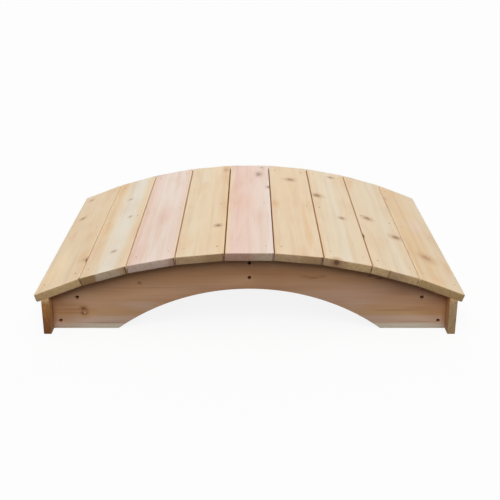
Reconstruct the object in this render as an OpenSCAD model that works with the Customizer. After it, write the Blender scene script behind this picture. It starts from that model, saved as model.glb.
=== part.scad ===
// Low arched garden bridge: deck planks laid across three arched stringers,
// closed at each end by an upright board. Sawn softwood, all sizes in millimetres.
// +X runs along the bridge, +Y across it, +Z up; the origin is on the ground at the middle.

/* [Deck] */
// Number of deck planks, laid side by side over the arch
plank_count = 9; // [5:1:10]
// Width of one deck plank
plank_w = 141; // [110:1:150]
// Width of the first and the last plank, which reach out past the end boards
end_plank_w = 146; // [110:1:160]
// Thickness of one deck plank
plank_t = 25; // [16:1:38]
// Length of the deck planks, which is the width of the bridge
deck_w = 914; // [600:1:1500]
// Gap between the undersides of neighbouring planks
plank_gap = 0.8; // [0.5:0.1:6]
// Rounding of the long edges where two planks meet
plank_edge_r = 2.5; // [0.5:0.5:7]
// Rounding of the outer long edges of the first and the last plank
nose_edge_r = 5; // [0.5:0.5:7]
// Rounding of the upper edges of the sawn ends of the planks
plank_end_r = 4; // [0.5:0.5:7]
// Easing of the lower edges of the sawn ends of the planks
plank_under_r = 1; // [0.5:0.5:7]
// How far the last plank reaches out past the end board
deck_nose = 13; // [0:1:20]
// How far the planks reach out past the outer stringers
deck_overhang = 38; // [10:1:80]

/* [Stringers] */
// Radius of the curved top edge
crown_r = 1530; // [1400:1:2600]
// Height at the crown
crown_h = 234; // [215:1:300]
// Depth of timber left over the arch at the crown
crown_depth = 105; // [95:1:130]
// Span of the arch at the ground
arch_span = 788; // [400:1:900]
// Thickness of each stringer
stringer_t = 38; // [25:1:60]

/* [End boards] */
// Thickness of each end board
end_board_t = 23; // [16:1:38]
// How far each end board reaches out past the plank ends
end_board_reach = 2; // [0:1:20]
// Easing of the upright edges of the end boards
end_board_r = 2; // [0.5:0.5:5]

/* [Blocking] */
// Width of the timber that the spacers and cleats are cut from
block_w = 89; // [70:1:92]
// Thickness of that timber
block_t = 38; // [19:1:50]
// How far the crown spacers sit below the stringer tops
spacer_drop = 1; // [0:1:6]
// Height of the cleats above the ground
cleat_lift = 4; // [0:1:15]
// How far the cleats stop short of the stringer ends' top corners
cleat_drop = 1; // [1:1:10]

/* [Screw holes] */
// Diameter of the counterbores in the outer stringers
counterbore_d = 11; // [6:0.5:14]
// Depth of the counterbores
counterbore_depth = 14; // [4:1:20]
// Distance of the crown screws from the edges of the spacer behind them
crown_screw_edge = 21; // [14:1:30]
// Distance of the upper screw at either end from the edges of the cleat behind it
upper_screw_edge = 13; // [12:1:30]
// Distance of the lower screw at either end from the edges of the cleat behind it
lower_screw_edge = 22; // [14:1:30]

/* [Hidden] */
$fn = 96;
// Sides that the two great arcs are drawn with
arc_fn = 720;
// Extra length that makes a cut pass clean through a face
cut = 10;

// Angle between neighbouring planks, each of which lies as a tangent on the top edge
plank_step = 2 * atan((plank_w + plank_gap) / 2 / crown_r);
// Tilt of the last plank at either end
last_tilt = plank_step * (plank_count - 1) / 2;
// Height of the centre that the top edge is struck from, far below the ground
crown_z = crown_h - crown_r;
// Underside height of the last plank at a distance from the middle of the bridge
function last_underside_z(x) = crown_z + (crown_r - x * sin(last_tilt)) / cos(last_tilt);

// Reach of the last plank from its tangent point, its outer bottom corner, and the faces of the
// end board in from there
end_plank_reach = end_plank_w - plank_w / 2;
deck_end_x = crown_r * sin(last_tilt) + end_plank_reach * cos(last_tilt);
end_board_x = deck_end_x - deck_nose;
stringer_end_x = end_board_x - end_board_t;
stringer_end_h = crown_z + sqrt(crown_r * crown_r - stringer_end_x * stringer_end_x);

// Arch under the stringers, a circle through its two feet and its crown
arch_rise = crown_h - crown_depth;
arch_r = (arch_span * arch_span / 4 + arch_rise * arch_rise) / (2 * arch_rise);

// Middle of an outer stringer, and the clear width of a bay between two stringers
outer_y = deck_w / 2 - deck_overhang - stringer_t / 2;
bay_w = outer_y - stringer_t;

// Spacer and cleat heights
spacer_top_z = crown_h - spacer_drop;
cleat_top_z = stringer_end_h - cleat_drop;

// Screws in the face of an outer stringer, as [x, z]: two in line at the crown spacer
// and two at opposite corners of the cleat at either end
crown_screws = [
    [0, spacer_top_z - crown_screw_edge],
    [0, spacer_top_z - block_w + crown_screw_edge]
];
cleat_screws = [
    [stringer_end_x - block_w + upper_screw_edge, cleat_top_z - upper_screw_edge],
    [stringer_end_x - lower_screw_edge, cleat_lift + lower_screw_edge]
];
stringer_screws = concat(
    crown_screws,
    [for (side = [-1, 1], at = cleat_screws) [side * at[0], at[1]]]
);

function plank_name(i) = str("deck_plank_", i);

// Colours of the timber, from plank to plank and for the framing below
tan_wood = "#dcbf98";
cream_wood = "#dccfae";
pink_wood = "#e2c6b6";
framing_wood = "#b48d68";
end_wood = "#b5936b";
plank_colours = [tan_wood, cream_wood, pink_wood];
// Place of each plank's timber in the list above, repeated for a longer deck
plank_timbers = [0, 1, 2, 0, 2, 0, 1, 1, 0];
function plank_colour(i) = plank_colours[plank_timbers[(i - 1) % len(plank_timbers)]];

// Rectangle about the origin, its upper corners rounded to one radius and its lower corners to another
module eased_rectangle(size, upper_r, lower_r) {
    translate([-size[0] / 2, lower_r - size[1] / 2]) square([size[0], size[1] - upper_r - lower_r]);
    translate([upper_r - size[0] / 2, 0]) square([size[0] - 2 * upper_r, size[1] / 2]);
    translate([lower_r - size[0] / 2, -size[1] / 2]) square([size[0] - 2 * lower_r, size[1] / 2]);
    for (x = [-1, 1]) {
        translate([x * (size[0] / 2 - upper_r), size[1] / 2 - upper_r]) circle(upper_r);
        translate([x * (size[0] / 2 - lower_r), lower_r - size[1] / 2]) circle(lower_r);
    }
}

// Outline in X and Z, extruded along Y to a length
module across(length) {
    rotate([90, 0, 0]) linear_extrude(length, center = true) children();
}

// Right half of a plank's section, out to its long edge, which is rounded
module half_section(reach, r) {
    translate([0, -plank_t / 2]) square([reach - r, plank_t]);
    translate([0, r - plank_t / 2]) square([reach, plank_t - 2 * r]);
    for (y = [-1, 1])
        translate([reach - r, y * (plank_t / 2 - r)]) circle(r);
}

// One straight deck plank, lying flat with its underside at Z = 0
module plank(left_reach, left_r, right_reach, right_r) {
    translate([0, 0, plank_t / 2]) intersection() {
        across(deck_w) {
            half_section(right_reach, right_r);
            mirror([1, 0]) half_section(left_reach, left_r);
        }
        translate([-left_reach, 0, 0]) rotate([90, 0, 90]) linear_extrude(left_reach + right_reach)
            eased_rectangle([deck_w, plank_t], plank_end_r, plank_under_r);
    }
}

// Plank number i, counted from the left, turned about the centre of the top edge
module deck_plank(i) {
    tilt = plank_step * (i - (plank_count + 1) / 2);
    left_edge = i == 1 ? [end_plank_reach, nose_edge_r] : [plank_w / 2, plank_edge_r];
    right_edge = i == plank_count ? [end_plank_reach, nose_edge_r] : [plank_w / 2, plank_edge_r];
    color(plank_colour(i))
        translate([0, 0, crown_z]) rotate([0, tilt, 0]) translate([0, 0, crown_r])
            plank(left_edge[0], left_edge[1], right_edge[0], right_edge[1]);
}

// Side view of a stringer: a plank with a curved back and an arch cut from its belly
module stringer_outline() {
    difference() {
        intersection() {
            translate([-stringer_end_x, 0]) square([2 * stringer_end_x, crown_h]);
            translate([0, crown_z]) circle(crown_r, $fn = arc_fn);
        }
        translate([0, arch_rise - arch_r]) circle(arch_r, $fn = arc_fn);
    }
}

module stringer() {
    color(framing_wood) across(stringer_t) stringer_outline();
}

// Outer stringer for the front, at the middle of its thickness, with its screws sunk from outside
module outer_stringer() {
    color(framing_wood) difference() {
        stringer();
        for (at = stringer_screws)
            translate([at[0], -stringer_t / 2 + counterbore_depth, at[1]])
                rotate([90, 0, 0]) cylinder(d = counterbore_d, h = counterbore_depth + cut);
    }
}

module front_stringer() {
    translate([0, -outer_y, 0]) outer_stringer();
}

module middle_stringer() {
    stringer();
}

module back_stringer() {
    mirror([0, 1, 0]) front_stringer();
}

// Upright board across the stringer ends, its top ripped to the slope of the last plank
module right_end_board() {
    board_w = deck_w + 2 * end_board_reach;
    board_h = last_underside_z(stringer_end_x);
    color(end_wood) intersection() {
        across(board_w) polygon([
            [stringer_end_x, 0],
            [end_board_x, 0],
            [end_board_x, last_underside_z(end_board_x)],
            [stringer_end_x, board_h]
        ]);
        translate([stringer_end_x + end_board_t / 2, 0, 0])
            linear_extrude(board_h + cut) eased_rectangle([end_board_t, board_w], end_board_r, end_board_r);
    }
}

module left_end_board() {
    mirror([1, 0, 0]) right_end_board();
}

// Spacer on edge between two stringers, under the crown of the deck
module front_crown_spacer() {
    color(framing_wood)
        translate([-block_t / 2, -stringer_t / 2 - bay_w, spacer_top_z - block_w])
            cube([block_t, bay_w, block_w]);
}

module back_crown_spacer() {
    mirror([0, 1, 0]) front_crown_spacer();
}

// Short upright cleat in the corner between an outer stringer and an end board
module front_right_cleat() {
    color(framing_wood)
        translate([stringer_end_x - block_w, -outer_y + stringer_t / 2, cleat_lift])
            cube([block_w, block_t, cleat_top_z - cleat_lift]);
}

module front_left_cleat() {
    mirror([1, 0, 0]) front_right_cleat();
}

module back_right_cleat() {
    mirror([0, 1, 0]) front_right_cleat();
}

module back_left_cleat() {
    mirror([1, 0, 0]) back_right_cleat();
}

for (i = [1 : plank_count])
    deck_plank(i);
front_stringer();
middle_stringer();
back_stringer();
left_end_board();
right_end_board();
front_crown_spacer();
back_crown_spacer();
front_left_cleat();
front_right_cleat();
back_left_cleat();
back_right_cleat();
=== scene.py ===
# %% [markdown]
# # A low arched garden bridge in cedar
# The object is a small garden bridge: flat cedar planks over three arched stringers, with an upright board
# closing each end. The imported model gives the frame, in metres, and every piece is made to sit exactly
# where the frame says, so nothing is fitted by eye.

# %% Load the frame
import math
import random
from collections import namedtuple
from functools import partial

import bmesh
import bpy
from mathutils import Matrix, Vector


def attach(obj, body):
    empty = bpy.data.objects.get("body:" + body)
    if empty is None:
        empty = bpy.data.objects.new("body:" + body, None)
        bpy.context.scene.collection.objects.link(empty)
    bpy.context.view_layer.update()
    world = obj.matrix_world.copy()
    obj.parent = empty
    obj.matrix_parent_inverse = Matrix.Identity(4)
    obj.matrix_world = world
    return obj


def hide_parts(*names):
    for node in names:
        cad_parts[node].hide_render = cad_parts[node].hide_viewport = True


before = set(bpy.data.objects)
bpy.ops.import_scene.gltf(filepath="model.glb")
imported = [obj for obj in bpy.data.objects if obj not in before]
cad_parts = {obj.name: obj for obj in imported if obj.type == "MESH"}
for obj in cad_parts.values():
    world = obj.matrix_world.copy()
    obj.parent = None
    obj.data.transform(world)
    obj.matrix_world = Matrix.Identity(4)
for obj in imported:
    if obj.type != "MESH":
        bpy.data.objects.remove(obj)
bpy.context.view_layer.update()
scene = bpy.context.scene
random.seed(7)
print("nodes in the frame:", len(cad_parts))

# %% [markdown]
# ## The sizes
# The bridge was measured once, and the same values drive the frame. They are written in metres, Blender's
# unit, and the rest is worked out from them: the planks lie as tangents on one great arc, so their angle
# follows from width and radius, and the end boards' place from the tilt of the last plank.

# %% Sizes of the arc and the deck
MM = 0.001
plank_count = 9
plank_w = 141 * MM
end_plank_w = 146 * MM
plank_gap = 0.8 * MM
deck_w = 914 * MM
deck_nose = 13 * MM
deck_overhang = 38 * MM
crown_r = 1530 * MM
crown_h = 234 * MM
stringer_t = 38 * MM
end_board_t = 23 * MM

crown_z = crown_h - crown_r
plank_step = 2 * math.atan((plank_w + plank_gap) / 2 / crown_r)
last_tilt = plank_step * (plank_count - 1) / 2
nose_reach = end_plank_w - plank_w / 2
end_board_x = crown_r * math.sin(last_tilt) + nose_reach * math.cos(last_tilt) - deck_nose
stringer_end_x = end_board_x - end_board_t
outer_y = deck_w / 2 - deck_overhang - stringer_t / 2
stringer_lines = {"front": -outer_y, "middle": 0.0, "back": outer_y}
print("angle between planks:", round(math.degrees(plank_step), 3), "degrees")

# %% [markdown]
# ## Materials from nodes
# A material is a small machine of nodes. Pictures of wood could do the same work, but nodes need no file
# and give every board its own grain. One helper adds any node by its type, inputs and settings. Another
# turns hex colours, as a colour picker shows them, into the linear light that a shader counts in.

# %% Colour and node helpers
def linear(hex_colour):
    """An sRGB hex value as the linear RGBA that a shader's socket takes."""
    parts = [int(hex_colour[i:i + 2], 16) / 255 for i in (1, 3, 5)]
    return tuple(c / 12.92 if c <= 0.04045 else ((c + 0.055) / 1.055) ** 2.4 for c in parts) + (1.0,)


def add_node(tree, kind, inputs=None, out=0, **settings):
    """Adds a node with its settings, sets or links its inputs, and gives one of its outputs.

    kind is the name of its type without the first word, ShaderNode.
    """
    made = tree.nodes.new(f"ShaderNode{kind}")
    for name, value in settings.items():
        setattr(made, name, value)
    for name, value in (inputs or {}).items():
        if isinstance(value, bpy.types.NodeSocket):
            tree.links.new(value, made.inputs[name])
        else:
            made.inputs[name].default_value = value
    return made.outputs[out] if made.outputs else None


def new_material(name):
    """An empty material, and the function that adds nodes to it."""
    material = bpy.data.materials.new(name)
    material.use_nodes = True
    material.node_tree.nodes.clear()
    return material, partial(add_node, material.node_tree)


# %% [markdown]
# ## Cedar: the grain
# The timber is unfinished cedar: pale sapwood, tan to pink heartwood, thin darker lines where a year's
# growth ends, and small knots. A flat pattern would break at a board's corners, so this one is solid, like
# the wood. It starts from five fields of noise, each stretched along the board to the size of what it
# stands for. Fibres are drawn 1.5 mm wide, far more than real ones, or they would not show.

# %% Noise along a board
CELLS_MM = {
    "wander": (400, 900, 400),
    "blotch": (70, 260, 70),
    "streak": (22, 700, 22),
    "fibre": (1.5, 110, 1.5),
    "ragged": (9, 12, 9),
}
SEED_STEP = (1.7, 3.1, 2.3)


def board_noise(node, face, across, along, seed):
    """Coordinates in the board's own directions, from the middle of its face, and its noise fields."""
    turn = Matrix((across, along, across.cross(along))).transposed().to_euler()
    place = node("TexCoord", out="Object")
    local = node("Mapping", {"Vector": place, "Location": face, "Rotation": turn}, vector_type="TEXTURE")
    elsewhere = tuple(seed * step for step in SEED_STEP)
    own = node("VectorMath", {0: local, 1: elsewhere}, operation="ADD")
    fields = {}
    for field, cell in CELLS_MM.items():
        stretch = tuple(1 / (size * MM) for size in cell)
        at = node("VectorMath", {0: own, 1: stretch}, operation="MULTIPLY")
        fields[field] = node("TexNoise", {"Vector": at, "Scale": 1.0, "Detail": 2.0})
    return local, fields


# %% [markdown]
# A knot is the foot of a branch, and the wood has grown round it. Painted on last, it would have the grain
# running straight through it, so the coordinates are pushed aside near each knot before any line is drawn.
# Places and radii are in millimetres from the middle of the face. A knot of depth 0 goes right through the
# board, and any other shows only that deep, as in a sawn end.

# %% Bend the grain round the knots
# A Map Range node with this setting starts and ends softly
SOFT = {"interpolation_type": "SMOOTHSTEP"}
WANDER = 10 * MM
RAGGED = 0.9
KNOT_PUSH = 0.6
KNOT_REACH = 3.2
Knot = namedtuple("Knot", "across along radius strength stretch hollow tint depth",
                  defaults=(1.25, 0.0, "knot brown", 0))


def distance_to(node, board, middle, reach, ragged):
    """How far a point is from a mark, as an offset and as a number that is 1 at the mark's ragged rim.

    middle and reach are in millimetres, and a reach of 0 leaves that direction out.
    """
    centre = tuple(MM * part for part in middle)
    shrink = tuple(1 / (MM * part) if part else 0 for part in reach)
    offset = node("VectorMath", {0: board, 1: centre}, operation="SUBTRACT")
    scaled = node("VectorMath", {0: offset, 1: shrink}, operation="MULTIPLY")
    length = node("VectorMath", {0: scaled}, "Value", operation="LENGTH")
    return offset, node("Math", {0: length, 1: ragged}, operation="ADD")


def bend_grain(node, local, fields, knots):
    """The coordinates, wandering and bent round each knot, and the distance to each knot."""
    wander = fields["wander"].node.outputs["Color"]
    drift = node("VectorMath", {0: wander, 1: (WANDER, 0, WANDER), 2: (-WANDER / 2, 0, -WANDER / 2)},
                 operation="MULTIPLY_ADD")
    bent = node("VectorMath", {0: local, 1: drift}, operation="ADD")
    ragged = node("Math", {0: fields["ragged"], 1: RAGGED, 2: -RAGGED / 2}, operation="MULTIPLY_ADD")
    distances = []
    for knot in knots:
        middle = (knot.across, knot.along, -knot.depth)
        reach = (knot.radius, knot.radius * knot.stretch, knot.radius if knot.depth else 0)
        offset, away = distance_to(node, local, middle, reach, ragged)
        push = node("MapRange", {"Value": away, "From Min": 0.5, "From Max": KNOT_REACH,
                                 "To Min": -KNOT_PUSH, "To Max": 0.0}, **SOFT)
        aside = node("VectorMath", {0: offset, 1: (1, 0, 0)}, operation="MULTIPLY")
        shift = node("VectorMath", {0: aside, "Scale": push}, operation="SCALE")
        bent = node("VectorMath", {0: bent, 1: shift}, operation="ADD")
        distances.append(away)
    return bent, distances


# %% [markdown]
# A year's growth is a pale band that darkens slowly and ends in a sharp line. A wave texture would give
# even stripes. Here the distance from the pith, the heart of the tree, is counted in rings, and its
# fraction climbs from 0 to 1 and drops, which is that line. Noise makes wide and narrow years and lets the
# lines fade in places. Rings 5 to 9 mm apart are wider than most cedar's, so that they show.

# %% Growth rings
YEARS_UNEVEN = 2.5
PLANK_RING_MM = 5.0


def growth_rings(node, bent, pith, ring_mm, fading):
    """Lines that darken towards the end of each year, from 0 to 1."""
    heart = (pith[0] * MM, 0, pith[1] * MM)
    from_pith = node("VectorMath", {0: bent, 1: heart}, operation="SUBTRACT")
    flat = node("VectorMath", {0: from_pith, 1: (1, 0, 1)}, operation="MULTIPLY")
    radius = node("VectorMath", {0: flat}, "Value", operation="LENGTH")
    years = node("Math", {0: radius, 1: 1 / (ring_mm * MM)}, operation="MULTIPLY")
    uneven = node("TexNoise", {"W": years, "Scale": 0.35, "Detail": 1.0}, noise_dimensions="1D")
    age = node("Math", {0: uneven, 1: YEARS_UNEVEN, 2: years}, operation="MULTIPLY_ADD")
    season = node("Math", {0: age}, operation="FRACT")
    line = node("MapRange", {"Value": season, "From Min": 0.25, "From Max": 0.95}, **SOFT)
    shown = node("MapRange", {"Value": fading, "From Min": 0.35, "From Max": 0.65, "To Min": 0.3})
    return node("Math", {0: line, 1: shown}, operation="MULTIPLY")


print("rings across a plank:", round(plank_w / MM / PLANK_RING_MM))

# %% [markdown]
# ## Cedar: the colours
# Planed cedar has many tints in one board. They could be mixed where each is used, but named once they stay
# alike: the faces of the deck, sawn ends, the browner stringers and end boards, and the knots.

# %% Tints
tints = {
    "sapwood": "#e8dfcf",
    "cream": "#e7d9c0",
    "pale tan": "#e7d4b6",
    "tan": "#e7d0b0",
    "straw": "#efd9b5",
    "honey": "#e5c8a0",
    "orange": "#e2bc8e",
    "pale pink": "#ebdace",
    "pink": "#ead3c5",
    "rose": "#e8cabb",
    "deep rose": "#e6c2ae",
    "straw end": "#c6a77a",
    "olive end": "#b39673",
    "ochre end": "#b39467",
    "dull end": "#a58560",
    "brown end": "#97774f",
    "grey end": "#baa58d",
    "mauve end": "#ae8b78",
    "rose end": "#c4ab9d",
    "rust end": "#a87840",
    "russet end": "#955f33",
    "dark russet end": "#855224",
    # Dark knots in sawn ends, and painted shade on the walls of the stringers' screw bores and beside the
    # gaps at the planks' ends
    "dark end and shade": "#5a3c27",
    "foot strip": "#ecdec8",
    "foot pink": "#dcbaa2",
    "foot orange": "#d4a87f",
    "low brown": "#d1a683",
    "brown": "#c39977",
    "bark brown": "#bd8f68",
    "bark orange": "#a97548",
    "pale mauve": "#d3aa92",
    "mauve brown": "#a67b60",
    "rust tan": "#d2a06a",
    "knot brown": "#86694e",
    "knot plum": "#8d6c66",
    "knot red": "#a67a60",
    "knot dark": "#6d4a33",
    "eye brown": "#6a3c20",
}
print("tints:", len(tints))

# %% [markdown]
# A board's colour is built up in layers, as a grainer paints wood. A color ramp lays the tints from edge to
# edge, patches follow with rims drawn out along the streaks, and shades are multiplied in where a field
# passes a mark, which darkens without hiding what lies below.

# %% Bands, patches and shades
# A Mix node has its sockets once for each kind of data, so the ones for colour are picked by number
COLOURS = {"data_type": "RGBA"}
MIX_A, MIX_B, MIXED = 6, 7, 2
STREAKED = 1.6
Shade = namedtuple("Shade", "field start full amount colour")


def tint_bands(node, across, width, bands):
    """Tints laid over the board's width, from a list of (share of the width, tint)."""
    share = node("Math", {0: across, 1: 1 / width, 2: 0.5}, operation="MULTIPLY_ADD")
    colour = node("ValToRGB", {"Fac": share})
    stops = colour.node.color_ramp.elements
    while len(stops) < len(bands):
        stops.new(0.5)
    while len(stops) > len(bands):
        stops.remove(stops[-1])
    for stop, (place, tint) in zip(stops, bands):
        stop.position = place
        stop.color = linear(tints[tint])
    return colour


def lay_patches(node, colour, bent, streak, patches):
    """Patches of another tint, their places and sizes in millimetres from the middle of the face."""
    drawn_out = node("Math", {0: streak, 1: STREAKED, 2: -STREAKED / 2}, operation="MULTIPLY_ADD")
    for across, along, half_width, half_length, strength, tint in patches:
        away = distance_to(node, bent, (across, along, 0), (half_width, half_length, 0), drawn_out)[1]
        mask = node("MapRange", {"Value": away, "From Min": 0.1, "From Max": 1.1,
                                 "To Min": strength, "To Max": 0.0}, **SOFT)
        laid = linear(tints[tint])
        colour = node("Mix", {"Factor": mask, MIX_A: colour, MIX_B: laid}, MIXED, **COLOURS)
    return colour


def darken(node, colour, shades):
    """Multiplies shades into a colour, each from nothing at its start to all where it is full."""
    for shade in shades:
        mask = node("MapRange", {"Value": shade.field, "From Min": shade.start, "From Max": shade.full,
                                 "To Max": shade.amount}, **SOFT)
        tint = linear(shade.colour)
        colour = node("Mix", {"Factor": mask, MIX_A: colour, MIX_B: tint}, MIXED, blend_type="MULTIPLY",
                      **COLOURS)
    return colour


# %% [markdown]
# Long edges and sawn ends differ from the face: edges are warm where light goes from board to board in the
# narrow gaps, which is painted bounce light, and deep in a gap they darken with painted shade; ends are
# greyer. Materials of their own would show a hard line at the eased corners, so one material asks which way
# the surface points and blends softly.

# %% Sawn edges and ends
# Tints of long edges, partly the sawn wood and partly painted bounce light and shade of the gaps between
# planks
PLAIN_EDGE = "#ffffff"
PALE_EDGE = "#edcda4"
WARM_EDGE = "#e9c59a"
# Brown sawn edges of the stringers; on the walls of their screw bores this is partly painted shade
BROWN_EDGE = "#c9a27c"
# Painted shade deep in the narrow gaps between planks
PAINTED_GAP_SHADE = "#8a6a48"
# Depths below the face where the painted shade in a gap begins and where it is full
GAP_SHADE_START = 8 * MM
GAP_SHADE_FULL = 14 * MM
EDGE_FACING = (0.80, 0.98)
END_FACING = (0.70, 0.95)


def edge_tint_and_gap_shade(node, height, edge, deep_gap_shade):
    """The colour of a long edge: its tint near the face, and painted shade of the gap deeper down."""
    depth = node("Math", {0: height}, operation="ABSOLUTE")
    deep = node("MapRange", {"Value": depth, "From Min": GAP_SHADE_START, "From Max": GAP_SHADE_FULL}, **SOFT)
    return node("Mix", {"Factor": deep, MIX_A: linear(edge), MIX_B: linear(deep_gap_shade)}, MIXED, **COLOURS)


def tint_sawn_faces(node, colour, across, along, nose, edge_colour, end_colour):
    """Multiplies a shade into the long edges, apart from a nose, and covers the sawn ends."""
    normal = node("TexCoord", out="Normal")
    edge_side = -nose * across if nose else across
    for direction, one_sided, (start, full), blend, shade in (
            (edge_side, bool(nose), EDGE_FACING, "MULTIPLY", edge_colour),
            (along, False, END_FACING, "MIX", end_colour)):
        facing = node("VectorMath", {0: normal, 1: direction}, "Value", operation="DOT_PRODUCT")
        if not one_sided:
            facing = node("Math", {0: facing}, operation="ABSOLUTE")
        mask = node("MapRange", {"Value": facing, "From Min": start, "From Max": full}, **SOFT)
        colour = node("Mix", {"Factor": mask, MIX_A: colour, MIX_B: shade}, MIXED, blend_type=blend,
                      **COLOURS)
    return colour


# %% [markdown]
# A knot has a soft warm halo, a brown core and a darker heart, and a hollow one is a ring, pale in its
# middle. A picture of one would look the same every time. Here it is a few soft steps on the distance that
# bent the grain, counted in radii, so it sits in its own swirl.

# %% Colour of the knots
HALO_SHADE = "#cda981"
HALO_REACH, HALO_FULL = 2.3, 0.7
HALO_AMOUNT = 0.5
CORE_FULL, RING_FULL = 0.5, 0.9
CORE_FADE = 0.5
CORE_AMOUNT = 0.7
HOLLOW_SHARE = 0.6
HEART_SHADE = "#b08a68"
HEART_REACH, HEART_FULL = 0.55, 0.25
HEART_AMOUNT = 0.3


def draw_knots(node, colour, knots, distances):
    """Draws the knots over a colour, and gives how much of each point is knot, from 0 to 1."""
    knotted = 0.0
    for knot, away in zip(knots, distances):
        halo = Shade(away, HALO_REACH, HALO_FULL, HALO_AMOUNT * knot.strength, HALO_SHADE)
        colour = darken(node, colour, [halo])
        inside = RING_FULL if knot.hollow else CORE_FULL
        core = node("MapRange", {"Value": away, "From Min": inside, "From Max": inside + CORE_FADE,
                                 "To Min": CORE_AMOUNT * knot.strength, "To Max": 0.0}, **SOFT)
        if knot.hollow:
            rim = node("MapRange", {"Value": away, "From Min": HOLLOW_SHARE * knot.hollow,
                                    "From Max": knot.hollow})
            core = node("Math", {0: core, 1: rim}, operation="MULTIPLY")
        tint = linear(tints[knot.tint])
        colour = node("Mix", {"Factor": core, MIX_A: colour, MIX_B: tint}, MIXED, **COLOURS)
        if not knot.hollow:
            heart = Shade(away, HEART_REACH, HEART_FULL, HEART_AMOUNT * knot.strength, HEART_SHADE)
            colour = darken(node, colour, [heart])
        knotted = node("Math", {0: knotted, 1: core}, operation="MAXIMUM")
    return colour, knotted


# %% [markdown]
# Planed cedar is dull, because open pores scatter the light, so its roughness is high and it has no coat.
# Fibres and soft early wood lie a little lower than the late wood, too fine to model, so a bump gives
# that.

# %% The cedar material
RING_RELIEF = 0.5


def cedar(name, face, across, along, width, bands, ends, pith, knots=(), patches=(), edge=WARM_EDGE,
          deep_gap_shade=WARM_EDGE, nose=0, ring_mm=PLANK_RING_MM, end_rings=0.2, seed=0):
    """Planed cedar, a dull soft-grained wood: pale, warm, streaked along the board and never glossy.

    face is the middle of the board's face, across and along are its own directions, and bands and ends
    list (share of the width, tint). pith is the middle of the rings, in mm across and above the face.
    nose is the side, -1 or 1, whose long edge is planed like the face.
    """
    material, node = new_material(name)
    across, along = Vector(across), Vector(along)
    local, fields = board_noise(node, face, across, along, seed)
    bent, distances = bend_grain(node, local, fields, knots)
    line = growth_rings(node, bent, pith, ring_mm, fields["blotch"])
    sideways = node("SeparateXYZ", {"Vector": bent})
    height = sideways.node.outputs["Z"]

    colour = tint_bands(node, sideways, width, bands)
    colour = lay_patches(node, colour, bent, fields["streak"], patches)
    colour = darken(node, colour, (
        Shade(fields["blotch"], 0.45, 0.75, 0.24, "#ebcdb4"),
        Shade(fields["streak"], 0.45, 0.70, 0.22, "#e6c8a2"),
        Shade(line, 0.0, 1.0, 0.11, "#dcb78c"),
        Shade(fields["fibre"], 0.45, 0.80, 0.15, "#d8c0a4")))
    end_colour = darken(node, tint_bands(node, sideways, width, ends), (
        Shade(line, 0.0, 1.0, end_rings, "#c8a880"),
        Shade(fields["ragged"], 0.4, 0.7, 0.35, "#c4b098")))
    # Long edges darken with depth below the face: painted shade in the gaps between planks
    edge_colour = edge_tint_and_gap_shade(node, height, edge, deep_gap_shade)
    colour = tint_sawn_faces(node, colour, across, along, nose, edge_colour, end_colour)
    colour, knotted = draw_knots(node, colour, knots, distances)

    relief = node("Math", {0: line, 1: RING_RELIEF, 2: fields["fibre"]}, operation="MULTIPLY_ADD")
    relief = node("Math", {0: relief, 1: knotted}, operation="SUBTRACT")
    bump = node("Bump", {"Strength": 0.3, "Distance": 0.3 * MM, "Height": relief})
    rough = node("MapRange", {"Value": fields["fibre"], "From Min": 0.3, "From Max": 0.7,
                              "To Min": 0.58, "To Max": 0.72})
    wood = node("BsdfPrincipled", {"Base Color": colour, "Roughness": rough, "IOR": 1.45, "Normal": bump})
    node("OutputMaterial", {"Surface": wood})
    return material


# %% [markdown]
# ## Tools for working by hand
# Every piece is modelled as by hand: a primitive is added, its edges are rounded and holes are cut. It could
# be written as lists of points, but these steps are what a hand does in the viewport. Operators act on
# whatever is selected, so each helper first clears the selection.

# %% Add, select, round and cut
def fresh(name, add, **settings):
    """One new primitive, named, with its place and size put into its mesh."""
    bpy.ops.object.select_all(action="DESELECT")
    add(**settings)
    piece = bpy.context.object
    piece.name = piece.data.name = name
    bpy.ops.object.transform_apply(location=True, rotation=True, scale=True)
    return piece


def box(name, size, middle=(0, 0, 0)):
    """A box of one size, round its middle."""
    return fresh(name, bpy.ops.mesh.primitive_cube_add, size=1, scale=size, location=middle)


def cylinder(name, sides, radius, depth, middle, turn=(0, 0, 0)):
    """A cylinder round its middle, on end unless it is turned."""
    return fresh(name, bpy.ops.mesh.primitive_cylinder_add, vertices=sides, radius=radius, depth=depth,
                 location=middle, rotation=turn)


def make_active(piece):
    """Selects one piece and nothing else."""
    bpy.ops.object.select_all(action="DESELECT")
    piece.select_set(True)
    bpy.context.view_layer.objects.active = piece


def round_edges(piece, test, radius, segments):
    """Rounds the edges whose two ends pass the test, as a router or sandpaper does."""
    make_active(piece)
    bpy.ops.object.mode_set(mode="EDIT")
    bpy.ops.mesh.select_mode(type="EDGE")
    bpy.ops.mesh.select_all(action="DESELECT")
    shape = bmesh.from_edit_mesh(piece.data)
    for edge in shape.edges:
        edge.select_set(test(edge.verts[0].co, edge.verts[1].co))
    bmesh.update_edit_mesh(piece.data)
    bpy.ops.mesh.bevel(offset=radius, segments=segments, affect="EDGES")
    bpy.ops.object.mode_set(mode="OBJECT")


def cut_with(piece, cutter):
    """Takes the cutter's shape out of the piece and throws the cutter away."""
    tool = piece.modifiers.new("cut", "BOOLEAN")
    tool.object = cutter
    tool.operation = "DIFFERENCE"
    tool.solver = "EXACT"
    make_active(piece)
    bpy.ops.object.modifier_apply(modifier=tool.name)
    bpy.data.objects.remove(cutter)


# %% [markdown]
# ## Screws
# The screws are ordinary countersunk wood screws with a dull brown coating, dark on some heads and pale
# with dust on others. A material for each would be many, so slow noise, one cell to about 30 mm, gives
# neighbours their own share of dust.

# %% Coated steel
DUST_MM = 30


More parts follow.
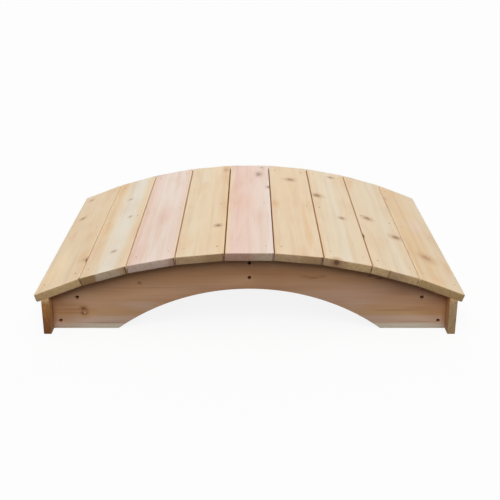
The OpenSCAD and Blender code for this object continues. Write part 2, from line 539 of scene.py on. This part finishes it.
def coated_steel(name, clean, dusted):
    """Steel with a dull coating that runs from its clean colour to its dusted one."""
    material, node = new_material(name)
    place = node("TexCoord", out="Object")
    dust = node("TexNoise", {"Vector": place, "Scale": 1 / (DUST_MM * MM)})
    dusty = node("MapRange", {"Value": dust, "From Min": 0.35, "From Max": 0.6}, **SOFT)
    colour = node("Mix", {"Factor": dusty, MIX_A: linear(clean), MIX_B: linear(dusted)}, MIXED, **COLOURS)
    steel = node("BsdfPrincipled", {"Base Color": colour, "Metallic": 0.6, "Roughness": 0.5})
    node("OutputMaterial", {"Surface": steel})
    return material


deck_coating = coated_steel("bronze coated steel", "#6f5943", "#d8bf9c")
bore_coating = coated_steel("dark coated steel", "#33271d", "#4a3a2c")
print("coatings:", deck_coating.name, "and", bore_coating.name)

# %% [markdown]
# Only the heads show, so one is modelled: a short disc, its rim softened, with a cross cut into its top. A
# plain disc would do from far away, but the cross makes it a screw. Copies are set along each stringer
# later, each turned at random as a driver leaves it.

# %% One screw head
NEAR = 0.1 * MM
screw_head_r = 2.9 * MM
screw_head_t = 2.0 * MM
screw_sides = 20
rim_r = 0.25 * MM
recess_w = 0.8 * MM
recess_l = 3.5 * MM
recess_d = 1.3 * MM
screw_head = cylinder("screw_head", screw_sides, screw_head_r, screw_head_t, (0, 0, -screw_head_t / 2))
round_edges(screw_head, lambda a, b: a.z > -NEAR and b.z > -NEAR, rim_r, segments=1)
for arm in ((recess_w, recess_l), (recess_l, recess_w)):
    cut_with(screw_head, box("recess", (*arm, 2 * recess_d)))
print("screw head faces:", len(screw_head.data.polygons))

# %% [markdown]
# ## Deck planks
# A plank is a dressed board: a box with its sawn ends rounded over and its long edges eased. The outer edge
# of the first and the last is rounded more, as a nosing. A bevel modifier would round every edge alike, so
# each kind of edge is selected by its place and beveled by itself. Two planks are modelled flat, one for
# the middle and one for the ends, and copied later.

# %% Two patterns for the planks
plank_t = 25 * MM
plank_edge_r = 2.5 * MM
nose_edge_r = 5 * MM
plank_end_r = 4 * MM
plank_under_r = 1 * MM
round_steps = 4


def runs_across(a, b):
    """An edge of a sawn end that runs level across the plank."""
    return abs(a.y - b.y) < NEAR and abs(a.z - b.z) < NEAR


def model_plank(name, left_reach, left_r):
    """A plank lying flat, its underside at z = 0, with a left edge that has its own reach and rounding."""
    right_reach = plank_w / 2
    middle = ((right_reach - left_reach) / 2, 0, plank_t / 2)
    plank = box(name, (left_reach + right_reach, deck_w, plank_t), middle)
    round_edges(plank, lambda a, b: runs_across(a, b) and a.z > plank_t / 2, plank_end_r, round_steps)
    round_edges(plank, lambda a, b: runs_across(a, b) and a.z < plank_t / 2, plank_under_r, round_steps)
    round_edges(plank, lambda a, b: max(a.x, b.x) < NEAR - left_reach, left_r, round_steps)
    round_edges(plank, lambda a, b: min(a.x, b.x) > right_reach - NEAR, plank_edge_r, round_steps)
    return plank


middle_plank = model_plank("middle_plank", plank_w / 2, plank_edge_r)
nose_plank = model_plank("nose_plank", nose_reach, nose_edge_r)
print("plank faces:", len(middle_plank.data.polygons), "and", len(nose_plank.data.polygons))

# %% [markdown]
# Each plank is its own piece of timber. Its pith, tints from left to right, knots and patches were read off
# the photograph, because chance would never put the knots in place. Boards at the crown have the warmest
# edges, painted bounce light and shade of the gaps, because the camera looks straight along the gaps beside
# them. One knot shows in the sawn end of the seventh board, so it has a depth, and three boards have a small
# split in an edge, beside a knot.

# %% The three boards at the left
# The darkest tint at the right of most boards' sawn ends is painted shade of the gap beside them
boards = {}
boards[1] = dict(
    pith=(-190, -40), edge=PLAIN_EDGE, ends=[(0.0, "straw end")],
    # The straw at its right edge is painted light, lessening the shade of the gap beside it
    bands=[(0.9, "tan"), (0.975, "honey"), (0.99, "straw")],
    knots=[Knot(-37, 178, 11, 0.75), Knot(-40, 393, 11, 0.5, tint="knot red"),
           Knot(60, -300, 12, 0.3, tint="knot red"), Knot(68, -312, 2, 1.0, 9.0, tint="knot dark"),
           Knot(71, -454, 2.5, 0.9, 2.5, tint="dark end and shade")],
    patches=[(-36, -15, 12, 50, 0.5, "orange"), (50, -260, 25, 90, 0.5, "orange"),
             (30, 0, 45, 160, 0.5, "honey"), (-35, -330, 55, 170, 1.0, "straw")])
boards[2] = dict(
    pith=(230, -50), edge=PLAIN_EDGE,
    ends=[(0.30, "brown end"), (0.34, "grey end"), (0.8, "grey end"), (0.93, "dull end"),
          (0.96, "dull end"), (0.98, "dark end and shade")],
    bands=[(0.0, "tan"), (0.13, "honey"), (0.24, "tan"), (0.36, "cream"), (0.52, "sapwood"),
           (0.7, "sapwood"), (0.8, "cream"), (0.9, "tan")],
    knots=[Knot(-2, 222, 9, 0.5), Knot(24, 12, 8, 0.5), Knot(12, -302, 9, 0.6)],
    patches=[(-46, -50, 24, 80, 0.6, "orange"), (-52, 370, 22, 110, 0.5, "orange"),
             (-35, -340, 40, 130, 0.6, "pale tan"), (6, -250, 26, 240, 0.5, "cream")])
boards[3] = dict(
    pith=(-120, -120), edge=PLAIN_EDGE,
    ends=[(0.8, "rose end"), (0.92, "mauve end"), (0.95, "mauve end"), (0.97, "dark end and shade")],
    bands=[(0.0, "tan"), (0.06, "rose"), (0.2, "pink"), (0.35, "pale pink"), (0.75, "pale pink"),
           (0.94, "pink"), (1.0, "tan")],
    patches=[(5, -60, 40, 190, 0.7, "rose"), (-62, -330, 12, 130, 0.6, "rose")])
print("boards:", len(boards))

# %% The three boards at the crown
boards[4] = dict(
    pith=(210, -30), edge=WARM_EDGE,
    ends=[(0.5, "olive end"), (0.65, "dull end"), (0.955, "dull end"), (0.975, "dark end and shade")],
    bands=[(0.0, "tan"), (0.25, "pale tan"), (0.45, "tan"), (0.8, "tan"), (1.0, "honey")],
    knots=[Knot(46, -216, 10, 1.0), Knot(56, 400, 9, 0.5, 3.0, tint="knot red")],
    patches=[(40, -340, 40, 120, 0.5, "honey"), (-28, 330, 35, 140, 0.6, "cream"),
             (-50, -340, 30, 130, 0.6, "honey")])
boards[5] = dict(
    pith=(150, -110), edge=WARM_EDGE,
    ends=[(0.5, "mauve end"), (0.72, "grey end"), (0.97, "grey end"), (0.99, "dark end and shade")],
    bands=[(0.0, "honey"), (0.05, "tan"), (0.12, "rose"), (0.4, "rose"), (0.65, "pink"),
           (0.9, "pale pink")],
    knots=[Knot(33, 338, 11, 0.75, 2.6, tint="knot plum"), Knot(46, 425, 7, 0.6, tint="knot plum"),
           Knot(67, 178, 8, 0.8, 2.0)],
    patches=[(-22, 10, 48, 140, 0.8, "deep rose")])
boards[6] = dict(
    pith=(-200, -30), edge=WARM_EDGE, bands=[(0.0, "tan")],
    ends=[(0.5, "olive end"), (0.7, "dull end"), (0.95, "dull end"), (0.97, "dark end and shade")],
    knots=[Knot(3, 292, 16, 0.8, 1.1)],
    patches=[(-10, 170, 75, 280, 0.35, "honey"), (-60, 0, 14, 60, 1.0, "orange"),
             (-60, -190, 8, 50, 0.6, "rose"), (33, -90, 12, 150, 0.6, "orange"),
             (39, -280, 16, 140, 0.7, "orange")])
print("boards:", len(boards))

# %% The three boards at the right
boards[7] = dict(
    pith=(180, -40), edge=PALE_EDGE,
    ends=[(0.4, "olive end"), (0.55, "straw end"), (0.97, "straw end"), (0.99, "dark end and shade")],
    bands=[(0.0, "honey"), (0.06, "pale tan"), (0.3, "pale tan"), (0.40, "cream"), (0.55, "cream"),
           (0.65, "pale tan"), (1.0, "tan")],
    knots=[Knot(19, 395, 11, 0.75), Knot(-52, 135, 16, 0.9, 1.1), Knot(18, -70, 10, 0.85),
           Knot(-34, -457, 11, 1.2, tint="dark end and shade", depth=9)])
boards[8] = dict(
    pith=(-170, -50), edge=PALE_EDGE,
    ends=[(0.25, "straw end"), (0.4, "olive end"), (0.55, "olive end"), (0.8, "straw end")],
    bands=[(0.0, "tan"), (0.3, "pale tan"), (0.55, "pale tan"), (0.66, "cream"), (0.8, "pale tan"),
           (1.0, "tan")],
    knots=[Knot(-40, 458, 10, 0.7), Knot(-33, -13, 15, 0.9, 1.1), Knot(48, -137, 16, 0.9, 1.1),
           Knot(-69, -205, 2, 1.0, 9.0, tint="knot dark"), Knot(-18, -457, 2.5, 0.6, 1.0, tint="knot dark")],
    patches=[(-60, 380, 14, 120, 0.5, "orange")])
boards[9] = dict(
    pith=(220, -40), edge=PLAIN_EDGE, ends=[(0.0, "ochre end")],
    # The straw at its left edge is painted light, lessening the shade of the gap beside it
    bands=[(0.01, "straw"), (0.025, "honey"), (0.4, "honey"), (0.7, "tan"), (1.0, "pale tan")],
    knots=[Knot(-68, 298, 10, 0.25), Knot(-9, -242, 22, 0.65, tint="knot red")],
    patches=[(-25, 330, 35, 140, 0.5, "pale tan"), (56, -270, 14, 60, 0.6, "orange"),
             (-7, -410, 30, 40, 0.5, "orange"), (0, 60, 50, 110, 0.4, "pink"),
             (-40, -320, 35, 120, 0.4, "tan")])
plank_slots = dict(enumerate(("tan_plank", "cream_plank", "pink_plank", "tan_plank", "pink_plank",
                              "tan_plank", "cream_plank", "cream_plank", "tan_plank"), start=1))
edge_splits_mm = {1: (70, -310), 5: (70, 176), 8: (-70, -210)}
print("boards:", len(boards), "with", len(edge_splits_mm), "splits")

# %% [markdown]
# ## Laying the deck
# What repeats is modelled once and copied, and each copy gets a mesh of its own, because every plank has
# its own holes. A finished piece keeps its object at the origin with its place in its mesh, so the wood's
# pattern, which reads the object's own coordinates, stays put. `finish_piece` ties the piece to the frame:
# it rides on the body and stands for its part of the imported model.

# %% Copy, join, place and finish
SMOOTH_BELOW = math.radians(30)


def copy_of(piece, name):
    """A copy with its own mesh."""
    twin = piece.copy()
    twin.data = piece.data.copy()
    twin.name = twin.data.name = name
    scene.collection.objects.link(twin)
    return twin


def join(pieces, name):
    """Several pieces as one."""
    bpy.ops.object.select_all(action="DESELECT")
    for piece in pieces:
        piece.select_set(True)
    bpy.context.view_layer.objects.active = pieces[0]
    bpy.ops.object.join()
    joined = bpy.context.object
    joined.name = joined.data.name = name
    return joined


def put(piece, place):
    """Moves a piece made at the origin to its place, and keeps that place in its mesh."""
    piece.matrix_world = place
    make_active(piece)
    bpy.ops.object.transform_apply(location=True, rotation=True, scale=True)


def finish_piece(piece, material, slot, *nodes):
    """Smooths what is round, gives the piece its material and ties it to the frame."""
    make_active(piece)
    bpy.ops.object.shade_smooth_by_angle(angle=SMOOTH_BELOW)
    piece.data.materials.clear()
    piece.data.materials.append(material)
    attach(piece, "root")
    if nodes:
        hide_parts(*nodes)


# %% [markdown]
# Each plank gets its own countersunk holes, two over every stringer. A dark dot would be quicker, but in
# real holes the screw heads sit a little below the surface and catch its shade. Six cones are joined into
# one cutter, with a flattened ball for a split, and one boolean takes them all out.

# %% A countersink
hole_r = 3.1 * MM
hole_d = 2.5 * MM
hole_clearance = 0.05 * MM


def countersink(point, turn=(0, 0, 0)):
    """A cone that cuts a countersunk hole at a point of the surface."""
    return fresh("countersink", bpy.ops.mesh.primitive_cone_add, vertices=screw_sides,
                 radius1=screw_head_r + hole_clearance, radius2=2 * hole_r - screw_head_r,
                 depth=2 * hole_d, location=point, rotation=turn)


# %% Lay the planks
screw_across = 50 * MM
screw_stray_x = 3 * MM
screw_stray_y = 4 * MM
sink_range = (0.1 * MM, 0.5 * MM)
split_size = (3.0 * MM, 11 * MM, 5 * MM)
split_turn = math.radians(8)
nose_sides = {1: -1, plank_count: 1}
deck_screw_places = {line: [] for line in stringer_lines}
for number, board in boards.items():
    plank = copy_of(nose_plank if number in nose_sides else middle_plank, f"cedar_plank_{number}")
    if number == plank_count:
        put(plank, Matrix.Rotation(math.pi, 4, "Z"))
    tilt = Matrix.Rotation(plank_step * (number - (plank_count + 1) / 2), 4, "Y")
    place = Matrix.Translation((0, 0, crown_z)) @ tilt @ Matrix.Translation((0, 0, crown_r))
    cutters = []
    for line, y in stringer_lines.items():
        for side in (-1, 1):
            x = side * screw_across + random.uniform(-screw_stray_x, screw_stray_x)
            point = Vector((x, y + random.uniform(-screw_stray_y, screw_stray_y), plank_t))
            cutters.append(countersink(point))
            spin = Matrix.Rotation(random.uniform(0, math.pi), 4, "Z")
            sunk = point - Vector((0, 0, random.uniform(*sink_range)))
            deck_screw_places[line].append(place @ Matrix.Translation(sunk) @ spin)
    if number in edge_splits_mm:
        x, y = edge_splits_mm[number]
        cutters.append(fresh("split", bpy.ops.mesh.primitive_ico_sphere_add, subdivisions=3, radius=1,
                             scale=split_size, rotation=(0, 0, split_turn),
                             location=(x * MM, y * MM, plank_t)))
    cut_with(plank, join(cutters, "holes"))
    put(plank, place)
    top = place @ Vector((0, 0, plank_t))
    across = place.to_3x3() @ Vector((1, 0, 0))
    # The planks' long edges take painted shade deep in the gaps between them
    timber = cedar(f"planed cedar {number}", top, across, (0, 1, 0), plank_w, deep_gap_shade=PAINTED_GAP_SHADE,
                   nose=nose_sides.get(number, 0), seed=number, **board)
    finish_piece(plank, timber, plank_slots[number], f"deck_plank_{number}")
for pattern in (middle_plank, nose_plank):
    bpy.data.objects.remove(pattern)
print("deck screws:", sum(len(places) for places in deck_screw_places.values()))

# %% [markdown]
# ## Stringers
# A stringer is sawn from one wide plank: its back is a slice of a huge disc and its belly a slice of a
# smaller one. A curve could draw the outline, but discs and saw cuts give true arcs. A disc of the great
# radius is cut to a bow, a second disc takes out the arch, and a bevel modifier eases every sharp edge.

# %% Saw a stringer
arch_span = 788 * MM
arch_rise = 129 * MM
arch_r = (arch_span ** 2 / 4 + arch_rise ** 2) / (2 * arch_rise)
bow_sides, arch_sides = 1080, 480
framing_edge_r = 1.5 * MM
upright = (math.pi / 2, 0, 0)


def saw(piece, point, normal):
    """A straight cut through the piece, which loses the side that the normal points away from."""
    make_active(piece)
    bpy.ops.object.mode_set(mode="EDIT")
    bpy.ops.mesh.select_all(action="SELECT")
    bpy.ops.mesh.bisect(plane_co=point, plane_no=normal, use_fill=True, clear_inner=True)
    bpy.ops.object.mode_set(mode="OBJECT")


def ease(piece):
    """Softens every sharp edge a little."""
    tool = piece.modifiers.new("ease", "BEVEL")
    tool.width = framing_edge_r
    tool.segments = 2
    tool.limit_method = "ANGLE"
    tool.angle_limit = math.radians(40)
    make_active(piece)
    bpy.ops.object.modifier_apply(modifier=tool.name)


bow = cylinder("bow", bow_sides, crown_r, stringer_t, (0, 0, crown_z), upright)
saw(bow, (0, 0, 0), (0, 0, 1))
saw(bow, (-stringer_end_x, 0, 0), (1, 0, 0))
saw(bow, (stringer_end_x, 0, 0), (-1, 0, 0))
cut_with(bow, cylinder("arch", arch_sides, arch_r, 2 * stringer_t, (0, 0, arch_rise - arch_r), upright))
ease(bow)
print("stringer faces:", len(bow.data.polygons))

# %% [markdown]
# The face of a stringer is tinted in long bands: a pale strip along its foot, then pink, orange and brown
# heartwood, the lower bands lighter with painted bounce light from the floor. The grain runs straight along
# the timber, so the arch cuts across it. One knot at the front looks like an eye, drawn as a ring, two dark
# spots and a pale dot.

# %% Timber of the stringers
# Bands from the foot up; those below the middle are lighter than the wood, with painted light bounced up from
# the floor
stringer_bands = [
    (0.06, "foot strip"), (0.085, "foot pink"), (0.16, "foot pink"), (0.20, "foot orange"),
    (0.27, "foot orange"), (0.34, "low brown"), (0.5, "low brown"), (0.6, "brown"),
    (0.68, "bark brown"), (0.8, "bark brown"), (1.0, "brown")]
stringer_knots = {
    "front": [Knot(-62, -493, 9, 0.45, 1.1, 0.6, "eye brown"),
              Knot(-51, -496, 4.5, 0.9, 1.6, tint="eye brown"),
              Knot(-66, -500, 3.5, 0.6, 1.0, tint="eye brown"),
              Knot(-66, -493, 3, 1.0, 1.0, tint="foot strip"), Knot(31, -325, 4, 0.8, tint="knot dark")],
    "middle": [Knot(20, 310, 12, 0.8), Knot(-40, -480, 10, 0.7)],
    "back": [Knot(-50, 470, 13, 0.8), Knot(35, 120, 8, 0.7), Knot(40, -290, 10, 0.6)]}
stringer_patches = [
    (-60, -590, 70, 110, 0.6, "bark orange"), (-60, 590, 70, 110, 0.5, "bark orange"),
    (10, 430, 55, 210, 0.5, "mauve brown"), (17, -330, 3, 230, 0.5, "bark orange"),
    (-63, -535, 5, 60, 0.6, "bark orange"), (-57, 440, 4, 120, 0.5, "bark orange"),
    (-61, -465, 8, 30, 0.5, "rust tan"), (-15, 270, 45, 190, 0.7, "pale mauve"),
    (47, 187, 6, 22, 0.6, "russet end"), (52, 163, 6, 18, 0.5, "russet end"),
    (52, 214, 6, 20, 0.5, "russet end"), (54, 355, 4, 14, 0.8, "knot dark"),
    (46, 382, 4, 16, 0.8, "knot dark"), (15, -420, 40, 150, 0.4, "bark brown"),
    (28, 0, 40, 200, 0.5, "low brown"), (-108, -585, 16, 110, 0.8, "foot pink"),
    (-97, -420, 2.5, 100, 0.6, "mauve brown"), (-94, 510, 2.5, 110, 0.6, "mauve brown"),
    (-40, -310, 24, 80, 0.7, "foot pink"), (-40, 315, 22, 70, 0.6, "foot pink"),
    (-54, -520, 11, 80, 0.6, "bark orange"), (8, 470, 28, 70, 0.5, "mauve brown"),
    (-49, 515, 9, 80, 0.5, "bark orange")]
# The dark tint of the hidden stringer ends also covers the bore walls that face along the stringer: painted
# shade in the bores
stringer_looks = dict(bands=stringer_bands, ends=[(0.0, "dark end and shade")], pith=(260, -60), ring_mm=7.0,
                      patches=stringer_patches, edge=BROWN_EDGE, deep_gap_shade=BROWN_EDGE)
print("patches on a stringer:", len(stringer_patches))

# %% [markdown]
# Each stringer is a copy of the bow, moved to its line. The outer two are drilled from outside for the
# screws into the spacers and cleats behind them: two in line at the crown, and two at opposite corners near
# each end. Their places follow from those timbers, so the screws always meet wood. They are a size larger
# than the deck's, and a head, modelled facing up, is leaned outwards and set on the floor of its deep hole.

# %% Places of the screws in a stringer
block_w = 89 * MM
spacer_drop = 1 * MM
cleat_lift = 4 * MM
cleat_drop = 1 * MM
crown_screw_edge = 21 * MM
upper_screw_edge = 13 * MM
lower_screw_edge = 22 * MM
spacer_top_z = crown_h - spacer_drop
stringer_end_h = crown_z + math.sqrt(crown_r ** 2 - stringer_end_x ** 2)
cleat_top_z = stringer_end_h - cleat_drop
face_points = [(0.0, spacer_top_z - crown_screw_edge), (0.0, spacer_top_z - block_w + crown_screw_edge)]
for side in (-1, 1):
    face_points.append((side * (stringer_end_x - block_w + upper_screw_edge), cleat_top_z - upper_screw_edge))
    face_points.append((side * (stringer_end_x - lower_screw_edge), cleat_lift + lower_screw_edge))
print("screws in each outer stringer:", len(face_points))

# %% Drill and place the stringers
counterbore_r = 5.5 * MM
counterbore_d = 14 * MM
drill_sides = 24
large_screw = 1.4
stringer_seed = 20
outward_sides = {"front": -1, "back": 1}
face_screw_places = {line: [] for line in outward_sides}
for number, (line, y) in enumerate(stringer_lines.items()):
    stringer = copy_of(bow, f"cedar_stringer_{line}")
    put(stringer, Matrix.Translation((0, y, 0)))
    if line in outward_sides:
        outward = outward_sides[line]
        face_y = y + outward * stringer_t / 2
        floor_y = face_y - outward * (counterbore_d - large_screw * screw_head_t)
        lean = Matrix.Rotation(-outward * math.pi / 2, 4, "X")
        drills = []
        for x, z in face_points:
            drills.append(cylinder("drill", drill_sides, counterbore_r, 2 * counterbore_d, (x, face_y, z),
                                   upright))
            spin = Matrix.Rotation(random.uniform(0, math.pi), 4, "Z")
            face_screw_places[line].append(Matrix.Translation((x, floor_y, z)) @ lean @ spin
                                           @ Matrix.Scale(large_screw, 4))
        cut_with(stringer, join(drills, "drills"))
    face = (0, y - stringer_t / 2, crown_h / 2)
    timber = cedar(f"planed cedar stringer {line}", face, (0, 0, 1), (1, 0, 0), crown_h,
                   knots=stringer_knots[line], seed=stringer_seed + number, **stringer_looks)
    finish_piece(stringer, timber, "stringer_timber", f"{line}_stringer")
bpy.data.objects.remove(bow)
print("stringers:", ", ".join(stringer_lines))

# %% [markdown]
# ## End boards
# An upright board closes each end. It is a box, and the saw cut that shaped the stringers rips its top to
# the slope of the last plank, which lies flat on it. Its outside shows the screws into the stringer ends,
# two to each. Its sawn end has wide curved rings, because it was cut near the pith.

# %% Rip and place the end boards
end_board_reach = 2 * MM
end_board_w = deck_w + 2 * end_board_reach
end_face_h = 120 * MM
end_screw_z = (28 * MM, 84 * MM)
end_screw_stray = 3 * MM
end_board_seed = 31
slope_z = crown_z + (crown_r - stringer_end_x * math.sin(last_tilt)) / math.cos(last_tilt)
end_board_ends = {
    "left": [(0.0, "dark russet end"), (0.35, "russet end"), (0.7, "rust end"), (0.8, "rust end"),
             (0.92, "straw end")],
    "right": [(0.0, "straw end"), (0.4, "olive end"), (0.8, "olive end"), (0.95, "straw end")]}
end_board_knots = [Knot(10, -160, 9, 0.6), Knot(-25, 230, 12, 0.7)]
end_sides = {"left": -1, "right": 1}
end_screw_places = {where: [] for where in end_sides}
for where, side in end_sides.items():
    middle = (side * (stringer_end_x + end_board_t / 2), 0, crown_h / 2)
    end_board = box(f"cedar_end_board_{where}", (end_board_t, end_board_w, crown_h), middle)
    slope = (-side * math.sin(last_tilt), 0, -math.cos(last_tilt))
    saw(end_board, (side * stringer_end_x, 0, slope_z), slope)
    ease(end_board)
    drills = []
    lean = Matrix.Rotation(side * math.pi / 2, 4, "Y")
    for y in stringer_lines.values():
        for z in end_screw_z:
            stray_y = random.uniform(-end_screw_stray, end_screw_stray)
            stray_z = random.uniform(-end_screw_stray, end_screw_stray)
            point = Vector((side * end_board_x, y + stray_y, z + stray_z))
            drills.append(countersink(point, (0, side * math.pi / 2, 0)))
            spin = Matrix.Rotation(random.uniform(0, math.pi), 4, "Z")
            sunk = point - Vector((side * random.uniform(*sink_range), 0, 0))
            end_screw_places[where].append(Matrix.Translation(sunk) @ lean @ spin)
    cut_with(end_board, join(drills, "drills"))
    # Their rust tan is lighter than the wood alone: partly painted bounce light on the shaded inner faces
    timber = cedar(f"planed cedar end board {where}", (side * end_board_x, 0, end_face_h / 2), (0, 0, 1),
                   (0, 1, 0), end_face_h, [(0.0, "rust tan")], end_board_ends[where], (10, side * 90),
                   end_board_knots, ring_mm=9.0, end_rings=0.6, seed=end_board_seed + side)
    finish_piece(end_board, timber, "end_board_timber", f"{where}_end_board")
print("end board screws:", sum(len(places) for places in end_screw_places.values()))

# %% [markdown]
# ## Spacers and cleats
# Underneath, a spacer on edge holds the stringers apart at the crown, and a short upright cleat backs each
# corner. They are offcuts of one timber, so each is a box with its edges eased as the stringers' are. Out
# of sight from above, they show from below and through the arch.

# %% Cut the blocking
block_t = 38 * MM
spacer_seed, cleat_seed = 40, 50
inner_y = outer_y - stringer_t / 2
bay = inner_y - stringer_t / 2
spacer_z = spacer_top_z - block_w / 2
cleat_x = stringer_end_x - block_w / 2
cleat_h = cleat_top_z - cleat_lift
cleat_z = (cleat_top_z + cleat_lift) / 2
blocking_looks = dict(bands=[(0.0, "brown"), (0.4, "foot orange"), (0.7, "foot pink"), (1.0, "brown")],
                      ends=[(0.0, "olive end")])
for number, (line, side) in enumerate(outward_sides.items()):
    middle = (0, side * (stringer_t / 2 + bay / 2), spacer_z)
    spacer = box(f"cedar_crown_spacer_{line}", (block_t, bay, block_w), middle)
    ease(spacer)
    timber = cedar(f"planed cedar spacer {line}", middle, (0, 0, 1), (0, 1, 0), block_w,
                   knots=[Knot(10, 70, 8, 0.6)], pith=(0, 70), seed=spacer_seed + number, **blocking_looks)
    finish_piece(spacer, timber, "blocking_timber", f"{line}_crown_spacer")
    for where, end_side in end_sides.items():
        middle = (end_side * cleat_x, side * (inner_y - block_t / 2), cleat_z)
        cleat = box(f"cedar_cleat_{line}_{where}", (block_w, block_t, cleat_h), middle)
        ease(cleat)
        timber = cedar(f"planed cedar cleat {line} {where}", middle, (1, 0, 0), (0, 0, 1), block_w,
                       pith=(10, 60), seed=cleat_seed + 2 * number + end_side, **blocking_looks)
        finish_piece(cleat, timber, "blocking_timber", f"{line}_{where}_cleat")
print("bay between stringers:", round(bay / MM), "mm")

# %% [markdown]
# ## Set the screws
# Every screw could be a piece of its own, but joined in rows the heads keep the outliner short.

# %% Rows of screw heads
head_count = 0
for kind, coating, rows in (("deck", deck_coating, deck_screw_places),
                            ("stringer", bore_coating, face_screw_places),
                            ("end_board", bore_coating, end_screw_places)):
    for where, places in rows.items():
        heads = []
        for place in places:
            head = copy_of(screw_head, "head")
            put(head, place)
            heads.append(head)
        head_count += len(heads)
        finish_piece(join(heads, f"{kind}_screws_{where}"), coating, "screw_steel")
bpy.data.objects.remove(screw_head)
print("screw heads:", head_count)

# %% [markdown]
# ## Floor
# The bridge stands on white, as in a catalogue. A white floor would throw so much light back that the
# shaded face would be lost. So the floor looks white where it is seen directly, with a little matt white
# that takes the bridge's shadow, and is a dim grey to all other light.

# %% Floor
floor_size = 60
floor_drop = 0.5 * MM
glow_share = 0.88


def seen_directly(node):
    """1 for rays from the camera, and for what shows in a gloss or through glass, 0 for the rest."""
    rays = node("LightPath", out="Is Camera Ray")
    path = rays.node
    for kind in ("Is Glossy Ray", "Is Transmission Ray"):
        rays = node("Math", {0: rays, 1: path.outputs[kind]}, operation="MAXIMUM")
    return rays


floor = fresh("floor", bpy.ops.mesh.primitive_plane_add, size=floor_size, location=(0, 0, -floor_drop))
paper, node = new_material("matt white paper")
matt = node("BsdfDiffuse", {"Color": linear("#f4f4f4")})
glow = node("Emission", {"Color": linear("#ffffff"), "Strength": 1.0})
white = node("MixShader", {0: glow_share, 1: matt, 2: glow})
dim = node("BsdfDiffuse", {"Color": linear("#51504e")})
look = node("MixShader", {0: seen_directly(node), 1: dim, 2: white})
node("OutputMaterial", {"Surface": look})
floor.data.materials.append(paper)
print("floor:", floor_size, "m wide")

# %% [markdown]
# ## Light
# In the photograph the deck is bright and the face below lies in the deck's own soft shade, with no sharp
# shadow. Area lamps could do that, but they fade with distance. Suns don't, and a wide one is as soft as a
# cloudy sky: one shines straight down, a stronger one leans in from the front, and a weak one fills the
# back. The sky adds a little and is bright only where it is seen directly.

# %% Light
SKY_STRENGTH = 0.07
lamp_height = 3
# For each sun its energy, its spread and how far it leans, in degrees
lamps = {
    "high soft sky": (1.10, 70, 0),
    "soft front light": (1.9, 40, 43),
    "weak back light": (0.4, 40, -55),
}
world = bpy.data.worlds.new("pale sky")
scene.world = world
world.use_nodes = True
world.node_tree.nodes.clear()
node = partial(add_node, world.node_tree)
sky = node("Background", {"Color": linear("#ffffff"), "Strength": SKY_STRENGTH})
backdrop = node("Background", {"Color": linear("#ffffff"), "Strength": 1.0})
look = node("MixShader", {0: seen_directly(node), 1: sky, 2: backdrop})
node("OutputWorld", {"Surface": look})
for name, (energy, spread, lean) in lamps.items():
    bpy.ops.object.light_add(type="SUN", location=(0, 0, lamp_height), rotation=(math.radians(lean), 0, 0))
    sun = bpy.context.object
    sun.name = name
    sun.data.energy = energy
    sun.data.angle = math.radians(spread)
print("lamps:", ", ".join(lamps))

# %% [markdown]
# ## Camera
# The camera was found by fitting the corners of all nine planks in the photograph, which is 500 pixels
# wide: a short telephoto lens, 2.8 metres in front of the bridge's middle and 1.2 metres up, looking down
# by 21 degrees. There is no film look, so that colours come out as written.

# %% Camera
image_size = 500
focal_px = 893
sensor_mm = 36
camera_place_mm = (1.7, -2843.4, 1197.7)
looks_down = math.radians(21.29)
camera_data = bpy.data.cameras.new("camera")
camera_data.sensor_width = sensor_mm
camera_data.lens = sensor_mm * focal_px / image_size
camera = bpy.data.objects.new("camera", camera_data)
camera.location = [part * MM for part in camera_place_mm]
camera.rotation_euler = (math.pi / 2 - looks_down, 0, 0)
scene.collection.objects.link(camera)
scene.camera = camera
scene.view_settings.view_transform = "Standard"
print("lens:", round(camera_data.lens, 1), "mm")
